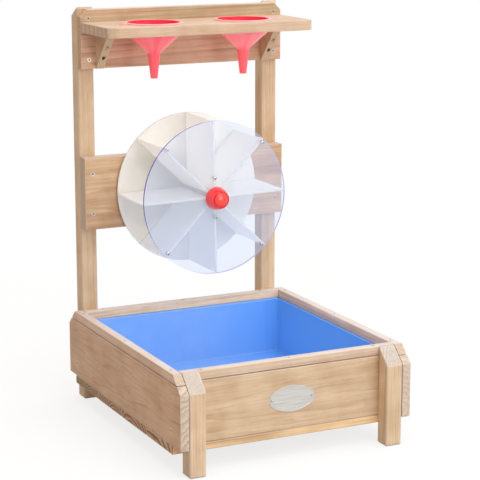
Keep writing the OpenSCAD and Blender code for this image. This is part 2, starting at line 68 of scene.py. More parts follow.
def new_material(name, **values):
    """An empty material with its shader's plain values, and the place of each point on the piece."""
    material = bpy.data.materials.new(name)
    material.use_nodes = True
    shader = material.node_tree.nodes["Principled BSDF"]
    for key, value in values.items():
        shader.inputs[key.replace("_", " ")].default_value = value
    place = add_node(material, "TexCoord", out="Object")
    return material, shader, place


def marks(width):
    """The scale of a pattern whose marks are so many millimetres wide."""
    return 1000 / width


def oiled_softwood(name, grain, pith, lean=(0, 0, 0), early="#E0C5A3", late="#CDA67E", heart="#C49674",
                   ring=5.0, start=0.3, contrast=0.7, hearted=0.4, core=0, sway=30, length=500,
                   sawn="#CFBDAB", arc="#B4906E", bold=0.5, wear_and_sheen=0.6, edge=3, joint=None):
    """Planed and oiled softwood, cut along one axis out of a log whose pith passes through a point in
    millimetres: its rings show as lines and arches along the faces and as arcs on the paler sawn ends.
    Late wood takes each ring from its start on, and the rings sway by so many millimetres over a length.
    A core is the radius of the heartwood, an edge how far the rounding and paling of the edges reach, and a
    joint the distance from the middle of a butted face."""
    wood, shader, place = new_material(name, Specular_IOR_Level=0.3)
    axis = "xyz".index(grain)
    to_grain = ((0, 0, 0), (0, 0, -90), (0, 90, 0))[axis]
    turn = Euler([math.radians(a + b) for a, b in zip(to_grain, lean)])
    middle = turn.to_matrix() @ Vector(pith) / -1000
    log = add_node(wood, "Mapping", {"Vector": place, "Location": middle, "Rotation": turn})
    # The trunk's slow sway, about 60 mm wide, with half a wave to a length
    drawn = add_node(wood, "Mapping", {"Vector": log, "Scale": (30 / length, 1, 1)})
    swung = add_node(wood, "TexNoise", {"Vector": drawn, "Scale": marks(62.5), "Detail": 2}, out="Color")
    bent = add_node(wood, "VectorMath", {0: swung, 1: (0, sway / 1000, sway / 1000), 2: log},
                    operation="MULTIPLY_ADD")
    # Year rings: pale early wood, then a darker line of late wood that ends sharply, strong in some years
    rings = add_node(wood, "TexWave", {"Vector": bent, "Scale": marks(ring) * math.pi / 10}, out="Fac",
                     wave_type="RINGS", rings_direction="X", wave_profile="SAW")
    line = add_node(wood, "MapRange", {"Value": rings, "From Min": start})
    years = add_node(wood, "TexNoise", {"Vector": drawn, "Scale": marks(16.7), "Detail": 1})
    strong = add_node(wood, "MapRange", {"Value": years, "From Min": 0.35, "From Max": 0.68,
                                         "To Min": 0.1 * contrast, "To Max": contrast})
    line = add_node(wood, "Math", {0: line, 1: strong}, operation="MULTIPLY")
    # Heartwood round the pith, up to the core's radius, with a soft border 12 mm wide
    reach = add_node(wood, "VectorMath", {0: bent, 1: (0, 1, 1)}, operation="MULTIPLY")
    reach = add_node(wood, "VectorMath", {0: reach}, out="Value", operation="LENGTH")
    reach = add_node(wood, "MapRange", {"Value": reach, "From Min": (core + 6) / 1000,
                                        "From Max": (core - 6) / 1000, "To Max": 0.85})
    ground = add_node(wood, "Mix", {0: reach, 6: linear(early), 7: linear(heart)}, out=2, data_type="RGBA")
    ringed = add_node(wood, "Mix", {0: line, 6: ground, 7: linear(late)}, out=2, data_type="RGBA")
    # Darker, redder bands of heartwood, about 30 mm wide
    band = add_node(wood, "TexNoise", {"Vector": drawn, "Scale": marks(29.4), "Detail": 3})
    share = add_node(wood, "MapRange", {"Value": band, "From Min": 0.45, "From Max": 0.72, "To Max": hearted})
    banded = add_node(wood, "Mix", {0: share, 6: ringed, 7: linear(heart)}, out=2, data_type="RGBA")
    # Soft stains from oil and hands, about 60 mm wide
    stain = add_node(wood, "TexNoise", {"Vector": place, "Scale": marks(58.8), "Detail": 3})
    stain = add_node(wood, "ValToRGB", {"Fac": stain}, stops=[(0.35, "#F1EBE3"), (0.62, "#FFFFFF")])
    banded = add_node(wood, "Mix", {0: 1.0, 6: banded, 7: stain}, out=2, data_type="RGBA",
                      blend_type="MULTIPLY")
    # Fibres: real ones are far under a millimetre wide, drawn 2.5 mm wide so that they show
    strands = add_node(wood, "Mapping", {"Vector": log, "Scale": (0.01, 1, 1)})
    fibre = add_node(wood, "TexNoise", {"Vector": strands, "Scale": marks(2.5), "Detail": 4,
                                        "Roughness": 0.65})
    shade = add_node(wood, "ValToRGB", {"Fac": fibre}, stops=[(0.3, "#EBE6E0"), (0.55, "#FFFFFF")])
    fibred = add_node(wood, "Mix", {0: 1.0, 6: banded, 7: shade}, out=2, data_type="RGBA",
                      blend_type="MULTIPLY")
    # Resin ducts: short dark dashes along the grain, 20 to 40 mm long
    ducts = add_node(wood, "Mapping", {"Vector": log, "Scale": (0.07, 1, 1)})
    duct = add_node(wood, "TexNoise", {"Vector": ducts, "Scale": marks(3.03), "Detail": 0})
    duct = add_node(wood, "MapRange", {"Value": duct, "From Min": 0.7, "From Max": 0.8, "To Max": 0.25})
    faced = add_node(wood, "Mix", {0: duct, 6: fibred, 7: linear("#A07A5A")}, out=2, data_type="RGBA")
    # Tops: the upward faces are painted paler and greyer, in patches about 40 mm long: a painted sheen for
    # the white gloss that they show at a low angle
    facing = add_node(wood, "TexCoord", out="Normal")
    upward = add_node(wood, "SeparateXYZ", {"Vector": facing}, out="Z")
    upward = add_node(wood, "MapRange", {"Value": upward, "From Min": 0.6, "From Max": 0.9})
    rubbed_and_sheen = add_node(wood, "TexNoise", {"Vector": place, "Scale": marks(40), "Detail": 3})
    rubbed_and_sheen = add_node(wood, "MapRange", {"Value": rubbed_and_sheen, "From Min": 0.3, "From Max": 0.7,
                                         "To Min": 0.7 * wear_and_sheen, "To Max": 1.2 * wear_and_sheen})
    rubbed_and_sheen = add_node(wood, "Math", {0: rubbed_and_sheen, 1: upward}, operation="MULTIPLY")
    faced = add_node(wood, "Mix", {0: rubbed_and_sheen, 6: faced, 7: linear("#DAD0CA")}, out=2, data_type="RGBA")
    # Sawn ends: the cut fibres are pale and rough, with open pores, and the rings as arcs across them
    along = add_node(wood, "VectorMath", {0: facing, 1: [float(i == axis) for i in range(3)]}, out="Value",
                     operation="DOT_PRODUCT")
    ended = add_node(wood, "Math", {0: along}, operation="ABSOLUTE")
    ended = add_node(wood, "MapRange", {"Value": ended, "From Min": 0.4, "From Max": 0.6})
    arcs = add_node(wood, "MapRange", {"Value": rings, "From Min": 0.4, "From Max": 0.9, "To Max": bold})
    cut = add_node(wood, "Mix", {0: arcs, 6: linear(sawn), 7: linear(arc)}, out=2, data_type="RGBA")
    pores = add_node(wood, "TexNoise", {"Vector": place, "Scale": marks(4), "Detail": 2})
    pores = add_node(wood, "ValToRGB", {"Fac": pores}, stops=[(0.38, "#F2EDE8"), (0.56, "#FFFFFF")])
    cut = add_node(wood, "Mix", {0: 1.0, 6: cut, 7: pores}, out=2, data_type="RGBA", blend_type="MULTIPLY")
    colour = add_node(wood, "Mix", {0: ended, 6: faced, 7: cut}, out=2, data_type="RGBA")
    # Edges: the bevel normal draws them rounder, and their colour is paler
    eased = add_node(wood, "Bevel", {"Radius": edge / 1000}, samples=6)
    square = add_node(wood, "NewGeometry", out="Normal")
    bend = add_node(wood, "VectorMath", {0: eased, 1: square}, out="Value", operation="DOT_PRODUCT")
    paled_edge = add_node(wood, "MapRange", {"Value": bend, "From Min": 0.995, "From Max": 0.88, "To Max": 0.55})
    colour = add_node(wood, "Mix", {0: paled_edge, 6: colour, 7: linear("#F2E6D8")}, out=2, data_type="RGBA")
    # The shadow in an open joint, a millimetre wide, where two pieces end flush
    if joint:
        aside = add_node(wood, "SeparateXYZ", {"Vector": place}, out="X")
        aside = add_node(wood, "Math", {0: aside}, operation="ABSOLUTE")
        near = add_node(wood, "Math", {0: aside, 1: joint / 1000, 2: 0.0007}, operation="COMPARE")
        turned_in = add_node(wood, "SeparateXYZ", {"Vector": facing}, out="X")
        turned_in = add_node(wood, "Math", {0: turned_in}, operation="ABSOLUTE")
        open_face = add_node(wood, "MapRange", {"Value": turned_in, "From Min": 0.5, "From Max": 0.2})
        near = add_node(wood, "Math", {0: near, 1: open_face}, operation="MULTIPLY")
        colour = add_node(wood, "Mix", {0: near, 6: colour, 7: linear("#5E4838")}, out=2, data_type="RGBA")
    wood.node_tree.links.new(colour, shader.inputs["Base Color"])
    sheen = add_node(wood, "MapRange", {"Value": fibre, "To Min": 0.55, "To Max": 0.4})
    dull = add_node(wood, "Mix", {0: ended, 2: sheen, 3: 0.75})
    wood.node_tree.links.new(dull, shader.inputs["Roughness"])
    relief = add_node(wood, "Bump", {"Height": fibre, "Strength": 0.12, "Distance": 0.0006, "Normal": eased})
    wood.node_tree.links.new(relief, shader.inputs["Normal"])
    return wood


def finish_node(node, material):
    """Gives a CAD piece its finish."""
    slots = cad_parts[node].data.materials
    slots.clear()
    slots.append(material)


# From the middle to where legs, posts and rim strips butt on a side piece, in millimetres
SIDE_JOINT = 252
# The right front leg's heartwood, round a pith before its right front corner, darkens its front face and
# leaves its left face paler: painted light that evens out its two faces
for node, pith, early, heart, core in (
        ("front_leg_left", (-190, -240, 0), "#E6CFB3", "#C69A68", 0),
        ("front_leg_right", (290, -340, 0), "#F8DDBB", "#D7BE9F", 102),
        ("rear_post_left", (-180, 380, 0), "#E1C6A5", "#C69A68", 0),
        ("rear_post_right", (160, 250, 0), "#E4CAAA", "#C69A68", 0)):
    finish_node(node, oiled_softwood(
        "oiled softwood, " + node, "z", pith, lean=(0.4, 0.6, 0), early=early, heart=heart, ring=4.5,
        contrast=0.55, hearted=0.5, core=core, sawn="#CEC3BA", arc="#B09A88", edge=7, joint=SIDE_JOINT))

# Box boards
# Wide boards that go round the tray, cut from wider stock than the legs, so that their faces show
# long arches of grain. The side boards are screwed to the ends of the front and rear boards.
finish_node("side_board_left", oiled_softwood(
    "oiled softwood, left side", "y", (-210, 0, 70), (0, 1.2, 1.6), early="#D8B492", late="#A87A5E",
    heart="#C8966F", ring=12, start=0.7, hearted=0.5, sway=60, length=160, sawn="#D4C2B2", arc="#A48A74",
    joint=SIDE_JOINT))
finish_node("side_board_right", oiled_softwood(
    "oiled softwood, right side", "y", (205, 100, 110), (0, -1.0, -1.8), early="#DDBF9F", late="#B98D6D",
    ring=12, start=0.7, sway=60, length=160, sawn="#D4C2B2", arc="#A48A74", bold=0.3, joint=SIDE_JOINT))
finish_node("front_board", oiled_softwood(
    "oiled softwood, front", "x", (-60, -190, 150), (0, 1.0, 1.4), early="#DBC2A4", late="#BA9874",
    heart="#C9A785", ring=12, start=0.15, contrast=0.6, length=700))
finish_node("rear_board", oiled_softwood(
    "oiled softwood, rear", "x", (80, 180, 110), (0, -0.8, 1.6), early="#E1C6A5", late="#CEA883"))

# Floor slats
# Four thinner boards from left to right under the box, screwed up into the side boards.
# Their sawn ends show under the left side, with bold year rings, each out of another log.
for i, y, z, ring, sawn in ((1, -150, -40, 17, "#D8B290"), (2, -40, 10, 13, "#C9A486"),
                            (3, 60, 34, 8, "#C9AA88"), (4, 205, 40, 6, "#BFA283")):
    node = f"floor_slat_{i}"
    finish_node(node, oiled_softwood(
        "oiled softwood, " + node, "x", (0, y, z), (0, 0, 0.7), early="#FAD8AA", late="#B08A62", ring=ring,
        contrast=1.0, sawn=sawn, arc="#6A4A34", bold=0.9))

# Tray
# One deep tray of blue polyethylene, moulded with crisp corners, nearly upright walls and a flange.
# The flange lies on the box boards and is clamped by the rim strips; the floor rests on the slats.
TRAY_TOP = 0.1975
TRAY_FLOOR = 0.065
# Half the width and half the depth of the mouth, the floor and the flange, in metres
TUB_MOUTH = (0.2475, 0.2595)
TUB_FLOOR = (0.246, 0.258)
TRAY_EDGE = (0.259, 0.271)
TUB_CORNER = 0.006
FLOOR_COVE = 0.003
MOUTH_EDGE = 0.0035
TRAY_WALL = 0.003
FLANGE_SHARE = 0.5
CORNER_STRIP = 0.030
CORNER_STEP = 0.0005
STEP_SLOPE = 0.001
# How closely points are picked by their place
NEAR = 0.001
HAIR = 0.0002
# The signs of two mirrored places
BOTH = (-1, 1)


def select_points(test):
    """Selects the points of the piece in edit mode whose place passes a test, and what lies between."""
    bpy.ops.mesh.select_mode(type="VERT")
    bpy.ops.mesh.select_all(action="DESELECT")
    bpy.ops.object.mode_set(mode="OBJECT")
    for point in bpy.context.object.data.vertices:
        point.select = bool(test(point.co))
    bpy.ops.object.mode_set(mode="EDIT")


def at_top(point):
    """Whether a point of the tray lies at its mouth or on its flange."""
    return point.z > TRAY_TOP - NEAR


def within(point, half, margin):
    """Whether a point lies inside a rectangle with these half sides, made wider by a margin."""
    return abs(point.x) < half[0] + margin and abs(point.y) < half[1] + margin


def in_corner(point):
    """Whether a point of the tray lies in the upright strip beside a corner."""
    return all(abs(place) > half - CORNER_STRIP - HAIR for place, half in zip(point, TUB_FLOOR))


bpy.ops.object.select_all(action="DESELECT")
bpy.ops.mesh.primitive_plane_add(size=2, location=(0, 0, TRAY_TOP))
tray = bpy.context.object
tray.name = "tray_shell"
tray.scale = (*TUB_MOUTH, 1)
bpy.ops.object.transform_apply(location=True, rotation=True, scale=True)
bpy.ops.object.mode_set(mode="EDIT")
bpy.ops.mesh.select_all(action="SELECT")
bpy.ops.mesh.bevel(offset=TUB_CORNER, segments=5, affect="VERTICES")
bpy.ops.mesh.extrude_region_move(TRANSFORM_OT_translate={"value": (0, 0, TRAY_FLOOR - TRAY_TOP)})
bpy.ops.transform.resize(value=(TUB_FLOOR[0] / TUB_MOUTH[0], TUB_FLOOR[1] / TUB_MOUTH[1], 1),
                         center_override=(0, 0, TRAY_FLOOR))
select_points(at_top)
bpy.ops.mesh.delete(type="ONLY_FACE")
# The upright corners are a little thicker, with a fine step in the walls beside them
for way in ((1, 0, 0), (0, 1, 0)):
    for reach in (CORNER_STRIP, CORNER_STRIP + STEP_SLOPE):
        for sign in BOTH:
            seam = [sign * w * (half - reach) for w, half in zip(way, (*TUB_FLOOR, 0))]
            bpy.ops.mesh.select_all(action="SELECT")
            bpy.ops.mesh.bisect(plane_co=seam, plane_no=way)
select_points(in_corner)
bpy.ops.transform.resize(value=(1 - CORNER_STEP / TUB_FLOOR[0], 1 - CORNER_STEP / TUB_FLOOR[1], 1),
                         center_override=(0, 0, TRAY_FLOOR))
# The cove round the floor, the flange and the rounded edge of the mouth
select_points(lambda p: p.z < TRAY_FLOOR + NEAR)
bpy.ops.mesh.dissolve_faces()
bpy.ops.mesh.region_to_loop()
bpy.ops.mesh.bevel(offset=FLOOR_COVE, segments=3, affect="EDGES")
select_points(at_top)
bpy.ops.mesh.extrude_region_move()
bpy.ops.transform.resize(value=(TRAY_EDGE[0] / TUB_MOUTH[0], TRAY_EDGE[1] / TUB_MOUTH[1], 1),
                         center_override=(0, 0, TRAY_TOP))
select_points(lambda p: at_top(p) and within(p, TUB_MOUTH, NEAR))
bpy.ops.mesh.bevel(offset=MOUTH_EDGE, segments=4, affect="EDGES")
bpy.ops.object.mode_set(mode="OBJECT")
thickness = tray.vertex_groups.new(name="thickness")
for point in tray.data.vertices:
    thickness.add([point.index], FLANGE_SHARE if at_top(point.co) else 1.0, "REPLACE")
shell = tray.modifiers.new("wall", "SOLIDIFY")
shell.thickness = TRAY_WALL
shell.offset = -1
shell.vertex_group = "thickness"
bpy.ops.object.modifier_apply(modifier=shell.name)
bpy.ops.object.shade_smooth_by_angle(angle=math.radians(40))

# Polyethylene from a polished mould: a soft gloss that shows the light, with faint ripples and rubbed
# patches about 17 mm wide
tray_blue, shader, place = new_material("moulded polyethylene, blue", IOR=1.5)
cloud = add_node(tray_blue, "TexNoise", {"Vector": place, "Scale": marks(55), "Detail": 3})
tone = add_node(tray_blue, "ValToRGB", {"Fac": cloud}, stops=[(0.3, "#7DAFFA"), (0.7, "#85B5FD")])
# Painted light: deeper blue towards the right, for the shade and blue bounced light on the right wall; the
# paler left stands in for the white gloss there
side = add_node(tray_blue, "SeparateXYZ", {"Vector": place}, out="X")
painted_deeper_blue = add_node(tray_blue, "MapRange", {"Value": side, "From Min": 0.04, "From Max": 0.25})
tone = add_node(tray_blue, "Mix", {0: painted_deeper_blue, 6: tone, 7: linear("#62A6FF")}, out=2, data_type="RGBA")
# Its gloss throws white light back on the rims, which the paler tone for that light stands in for
thrown = add_node(tray_blue, "LightPath", out="Is Diffuse Ray")
tone = add_node(tray_blue, "Mix", {0: thrown, 6: tone, 7: linear("#CADEFF")}, out=2, data_type="RGBA")
tray_blue.node_tree.links.new(tone, shader.inputs["Base Color"])
rubbed_and_sheen = add_node(tray_blue, "TexNoise", {"Vector": place, "Scale": marks(17), "Detail": 4})
gloss = add_node(tray_blue, "MapRange", {"Value": rubbed_and_sheen, "From Min": 0.3, "From Max": 0.7, "To Min": 0.1,
                                         "To Max": 0.2})
tray_blue.node_tree.links.new(gloss, shader.inputs["Roughness"])
ripple = add_node(tray_blue, "TexNoise", {"Vector": place, "Scale": marks(17), "Detail": 1})
relief = add_node(tray_blue, "Bump", {"Height": ripple, "Strength": 0.05, "Distance": 0.0006})
tray_blue.node_tree.links.new(relief, shader.inputs["Normal"])
tray.data.materials.append(tray_blue)
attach(tray, "frame")
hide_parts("tray")

# Rim strips
# Narrow strips of pale softwood over the tray's flange on all four sides of the box.
# They are planed, with barely eased edges, and nailed down through the flange.
# The right and rear strips take paler colours, painted light that brightens their inner faces beside the
# tray, and more of the painted top sheen
for node, grain, pith, early, wear_and_sheen in (("side_rim_left", "y", (-200, 0, 260), "#E2C3A6", 0.9),
                                       ("side_rim_right", "y", (190, 0, 240), "#F4DCCE", 0.95),
                                       ("front_rim", "x", (0, -230, 150), "#DDC9B3", 0.8),
                                       ("rear_rim", "x", (0, 220, 250), "#F6DEC6", 1.1)):
    finish_node(node, oiled_softwood(
        "oiled softwood, " + node, grain, pith, (0, 0.5, 0.4), early=early, late="#CBA788", heart="#C49880",
        hearted=0.5, wear_and_sheen=wear_and_sheen, edge=1.5, joint=SIDE_JOINT))

# Rim nails
# Wire nails dulled by weather, three through each rim strip into the board below.
# They are driven until their flat heads lie flush.
# The middle lines and the top of the strips, and the places of the nails along them, in millimetres
RIM_X = 262
RIM_Y = 274
RIM_TOP = 217
NAILS_ALONG_X = (-205, 0, 205)
NAILS_ALONG_Y = (-252, 0, 252)
UP = (0, 0, 1)
# The turn at which the first of a row of fasteners stopped, and what each next one is turned more, in degrees
FIRST_TURN = 20
NEXT_TURN = 37


def turned(name, rings, sides=32):
    """Turns a piece about the vertical axis: a circle drawn out from ring to ring, each a radius and a
    height in millimetres. Where the last ring is the first, the two are merged, and open ends are filled."""
    radius, height = rings[0]
    bpy.ops.object.select_all(action="DESELECT")
    bpy.ops.mesh.primitive_circle_add(vertices=sides, radius=radius / 1000, location=(0, 0, height / 1000))
    piece = bpy.context.object
    piece.name = name
    bpy.ops.object.transform_apply(location=True, rotation=True, scale=True)
    bpy.ops.object.mode_set(mode="EDIT")
    bpy.ops.mesh.select_all(action="SELECT")
    for (inner, low), (outer, high) in zip(rings, rings[1:]):
        bpy.ops.mesh.extrude_region_move(TRANSFORM_OT_translate={"value": (0, 0, (high - low) / 1000)})
        bpy.ops.transform.resize(value=(outer / inner, outer / inner, 1),
                                 center_override=(0, 0, high / 1000))
    bpy.ops.mesh.select_all(action="SELECT")
    bpy.ops.mesh.remove_doubles(threshold=0.000001)
    bpy.ops.mesh.fill_holes(sides=0)
    bpy.ops.mesh.normals_make_consistent(inside=False)
    bpy.ops.object.mode_set(mode="OBJECT")
    bpy.ops.object.shade_smooth_by_angle(angle=math.radians(35))
    return piece


def set_copies(name, model, seats, material):
    """Copies a fastener to its seats, each a place in millimetres and the way its head faces, each copy with
    its own mesh and turned as it was driven, and joins them. The model goes."""
    bpy.ops.object.select_all(action="DESELECT")
    for i, (place, facing) in enumerate(seats):
        copy = model.copy()
        copy.data = model.data.copy()
        bpy.context.collection.objects.link(copy)
        copy.location = Vector(place) / 1000
        drive = Quaternion(UP, math.radians(FIRST_TURN + NEXT_TURN * i))
        copy.rotation_euler = (Vector(facing).to_track_quat("Z", "Y") @ drive).to_euler()
        copy.select_set(True)
        bpy.context.view_layer.objects.active = copy
    bpy.ops.object.transform_apply(location=True, rotation=True, scale=True)
    bpy.ops.object.join()
    group = bpy.context.object
    group.name = name
    bpy.data.objects.remove(model)
    group.data.materials.clear()
    group.data.materials.append(material)
    return group


# Drawn wire, dulled by weather: dark grey with a soft shine, mottled at 2 mm
wire, shader, place = new_material("drawn steel wire, dulled", Metallic=1.0)
spots = add_node(wire, "TexNoise", {"Vector": place, "Scale": marks(2), "Detail": 2})
tone = add_node(wire, "ValToRGB", {"Fac": spots}, stops=[(0.35, "#5C524A"), (0.65, "#83796F")])
wire.node_tree.links.new(tone, shader.inputs["Base Color"])
wear_and_sheen = add_node(wire, "MapRange", {"Value": spots, "To Min": 0.35, "To Max": 0.6})
wire.node_tree.links.new(wear_and_sheen, shader.inputs["Roughness"])

nail = turned("nail", [(2.1, 0), (2.5, -0.3), (2.5, -1.2), (1.2, -1.3), (1.2, -41), (0.1, -44)], sides=20)
seats = [((x, side * RIM_Y, RIM_TOP), UP) for side in BOTH for x in NAILS_ALONG_X]
seats += [((side * RIM_X, y, RIM_TOP), UP) for side in BOTH for y in NAILS_ALONG_Y]
nails = set_copies("rim_nails_driven", nail, seats, wire)
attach(nails, "frame")
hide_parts("rim_nails")

# Upper boards, shelf and brackets
# The thick board for the axle, the top board with its cut corners, the shelf with two round holes,
# and two triangular brackets screwed under it, all of oiled softwood.
finish_node("wheel_board", oiled_softwood(
    "oiled softwood, wheel board", "x", (40, 340, 500), (0, 0.6, 1.2), early="#DDBC97", late="#C39672",
    heart="#B07E5E", hearted=0.75))
# The top board's pinker heartwood core covers its lower part under the shelf: painted light, the red glow
# that the funnels throw on it
finish_node("top_board", oiled_softwood(
    "oiled softwood, top board", "x", (-60, 330, 800), (0, 0.8, 1.0), early="#C5B191", late="#9C7454",
    heart="#EEC0A5", ring=9, hearted=0.3, core=108, sawn="#D2AE8A"))
finish_node("shelf", oiled_softwood(
    "oiled softwood, shelf", "x", (0, 620, 860), (0, 0.8, 0.8), early="#DBBEA2", late="#C6A282", ring=24,
    sawn="#D8BCA2", arc="#AC8E74", wear_and_sheen=0.1))
for side, pith in (("left", (-170, 260, 800)), ("right", (260, 270, 800))):
    finish_node(f"bracket_{side}", oiled_softwood(
        f"oiled softwood, {side} bracket", "z", pith, (30, 0, 0), sawn="#DFC3A1"))

# Wood screws
# Zinc-plated screws with a countersunk head and a cross recess, driven flush with the timber: through
# the upper boards, the side boards, the box corners, the shelf, the slats and the brackets.
# Radius of the head, radius of the shank and length of the tip, in millimetres
WOOD_SCREW_HEAD = 4.5
WOOD_SCREW_SHANK = 2.25
WOOD_SCREW_TIP = 8
# Width, length and depth of the cross recess
WOOD_CROSS = (2.0, 5.8, 3.0)
DOWN = (0, 0, -1)
FRONT = (0, -1, 0)
BACK = (0, 1, 0)
# The faces that the heads lie in, and the middle lines of the timber that they go into
POST_X = 233
SIDE_FACE_X = 272
BOX_INSIDE_Y = 264
WHEEL_BOARD_Y = 252
TOP_BOARD_Y = 262
TOP_BOARD_BACK_Y = 284
BOX_MIDDLE_Z = 129
WHEEL_BOARD_Z = 497
TOP_BOARD_Z = 850
SHELF_MIDDLE_Z = 877
SHELF_SCREWS_X = (-190, 0, 190)
SLAT_FACE_Z = 44
SLAT_MIDDLES = (-213, -71, 71, 213)
# From the middle of a pair of screws to each of them
SIDE_SPREAD = 34.04
LEG_SPREAD = 13.94
SLAT_SPREAD = 45
BOARD_SPREAD = 46.5


def combine(piece, other, operation):
    """Joins another piece to a piece, or cuts it out of it. The other one goes."""
    bpy.context.view_layer.objects.active = piece
    step = piece.modifiers.new("combine", "BOOLEAN")
    step.operation = operation
    step.object = other
    step.solver = "EXACT"
    bpy.ops.object.modifier_apply(modifier=step.name)
    bpy.data.objects.remove(other)


def cut_cross(screw, width, length, depth):
    """Cuts the cross recess into the top of a screw's head, in millimetres: two crossing slots and a cone
    where they meet."""
    for turn in (0, math.pi / 2):
        bpy.ops.object.select_all(action="DESELECT")
        bpy.ops.mesh.primitive_cube_add(size=0.001, rotation=(0, 0, turn))
        slot = bpy.context.object
        slot.scale = (length, width, depth * 2)
        combine(screw, slot, "DIFFERENCE")
    bpy.ops.object.select_all(action="DESELECT")
    bpy.ops.mesh.primitive_cone_add(vertices=20, radius1=width / 4000, radius2=width / 1000,
                                    depth=depth / 500)
    combine(screw, bpy.context.object, "DIFFERENCE")


def plated_steel(name, dull, bright, smooth, shade_reach):
    """Plated steel: a metal shine in slightly uneven patches about 4 mm wide, with painted shade darkening
    every recess that is narrower than so many millimetres."""
    plated, shader, place = new_material(name, Metallic=1.0)
    patch = add_node(plated, "TexNoise", {"Vector": place, "Scale": marks(4), "Detail": 3})
    tone = add_node(plated, "ValToRGB", {"Fac": patch}, stops=[(0.3, dull), (0.7, bright)])
    # Painted shade: near black wherever the surface is hemmed in, in the cross recess and round the foot of a
    # head
    open_air = add_node(plated, "AmbientOcclusion", {"Distance": shade_reach / 1000}, out="AO", samples=8)
    open_air = add_node(plated, "MapRange", {"Value": open_air, "From Min": 0.55, "From Max": 0.9})
    tone = add_node(plated, "Mix", {0: open_air, 6: linear("#3C3734"), 7: tone}, out=2, data_type="RGBA")
    plated.node_tree.links.new(tone, shader.inputs["Base Color"])
    shine = add_node(plated, "MapRange", {"Value": patch, "To Min": smooth, "To Max": 2 * smooth})
    plated.node_tree.links.new(shine, shader.inputs["Roughness"])
    return plated


# Zinc: pale warm silver with a soft shine
zinc = plated_steel("zinc-plated steel", "#BAB0A6", "#D4CBC2", 0.25, 2.4)
for node, length, seats in (
        ("side_screws", 46, [((s * SIDE_FACE_X, t * RIM_Y, BOX_MIDDLE_Z + u * SIDE_SPREAD), (s, 0, 0))
                             for s in BOTH for t in BOTH for u in BOTH]),
        ("leg_screws", 46, [((s * POST_X, t * BOX_INSIDE_Y, BOX_MIDDLE_Z + u * LEG_SPREAD), (0, -t, 0))
                            for s in BOTH for t in BOTH for u in BOTH]),
        ("slat_screws", 44, [((s * RIM_X, y + u * SLAT_SPREAD, SLAT_FACE_Z), DOWN)
                             for s in BOTH for y in SLAT_MIDDLES for u in BOTH]),
        ("wheel_board_screws", 58, [((s * POST_X, WHEEL_BOARD_Y, WHEEL_BOARD_Z + u * BOARD_SPREAD), FRONT)
                                    for s in BOTH for u in BOTH]),
        ("top_board_screws", 48, [((s * POST_X, TOP_BOARD_Y, TOP_BOARD_Z + u * BOARD_SPREAD), FRONT)
                                  for s in BOTH for u in BOTH]),
        ("shelf_screws", 48, [((x, TOP_BOARD_BACK_Y, SHELF_MIDDLE_Z), BACK) for x in SHELF_SCREWS_X])):
    screw = turned("wood_screw", [(4.2, 0), (WOOD_SCREW_HEAD, -0.3), (WOOD_SCREW_SHANK, -2.6),
                                  (WOOD_SCREW_SHANK, WOOD_SCREW_TIP - length), (0.3, -length)])
    cut_cross(screw, *WOOD_CROSS)
    screws = set_copies(node + "_driven", screw, seats, zinc)
    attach(screws, "frame")
    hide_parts(node)
finish_node("bracket_screws", zinc)

# Oval plate
# A bare oval of brushed aluminium on the front board, pressed out of thin sheet with a raised border.
# Two small round-headed rivets, one at each end, hold it.
# The middle of its back, its half width and half height, and its thickness, in millimetres
PLATE_X = 3.5
PLATE_BACK_Y = -284
PLATE_Z = 129
PLATE_HALF_WIDTH = 55
PLATE_HALF_HEIGHT = 29
PLATE_THICK = 1.2
PLATE_BORDER = 2.2
PLATE_STEP = 0.6
# From the middle to each rivet, and where the rivets' heads sit
RIVET_REACH = 47.7
RIVET_SEAT_Y = -285
bpy.ops.object.select_all(action="DESELECT")
bpy.ops.mesh.primitive_circle_add(vertices=96, radius=1, fill_type="NGON",
                                  location=(PLATE_X / 1000, PLATE_BACK_Y / 1000, PLATE_Z / 1000))
plate = bpy.context.object
plate.name = "oval_plate"
plate.scale = (PLATE_HALF_WIDTH / 1000, PLATE_HALF_HEIGHT / 1000, 1)
plate.rotation_euler = (math.pi / 2, 0, 0)
bpy.ops.object.transform_apply(location=True, rotation=True, scale=True)
bpy.ops.object.mode_set(mode="EDIT")
bpy.ops.mesh.select_all(action="SELECT")
bpy.ops.mesh.extrude_region_move(TRANSFORM_OT_translate={"value": (0, -PLATE_THICK * 0.6 / 1000, 0)})
bpy.ops.mesh.inset(thickness=PLATE_STEP / 1000, depth=PLATE_THICK * 0.4 / 1000)
bpy.ops.mesh.inset(thickness=PLATE_BORDER / 1000)
bpy.ops.mesh.inset(thickness=PLATE_STEP / 1000, depth=-PLATE_THICK * 0.5 / 1000)
bpy.ops.mesh.select_all(action="SELECT")
bpy.ops.mesh.fill_holes(sides=0)
bpy.ops.mesh.normals_make_consistent(inside=False)
bpy.ops.object.mode_set(mode="OBJECT")
bpy.ops.object.shade_smooth_by_angle(angle=math.radians(20))

# Brushed aluminium: bright, drawn out sideways by hairlines; real ones are 0.1 mm apart and these are
# drawn 1.5 mm apart so that they show
brushed, shader, place = new_material("brushed aluminium", Metallic=1.0)
hairs = add_node(brushed, "Mapping", {"Vector": place, "Scale": (0.03, 1, 1)})
hair = add_node(brushed, "TexNoise", {"Vector": hairs, "Scale": marks(1.5), "Detail": 3})
tone = add_node(brushed, "ValToRGB", {"Fac": hair}, stops=[(0.3, "#B4B2AC"), (0.7, "#CFCDC6")])
brushed.node_tree.links.new(tone, shader.inputs["Base Color"])
shine = add_node(brushed, "MapRange", {"Value": hair, "To Min": 0.35, "To Max": 0.55})
brushed.node_tree.links.new(shine, shader.inputs["Roughness"])
plate.data.materials.append(brushed)
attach(plate, "frame")

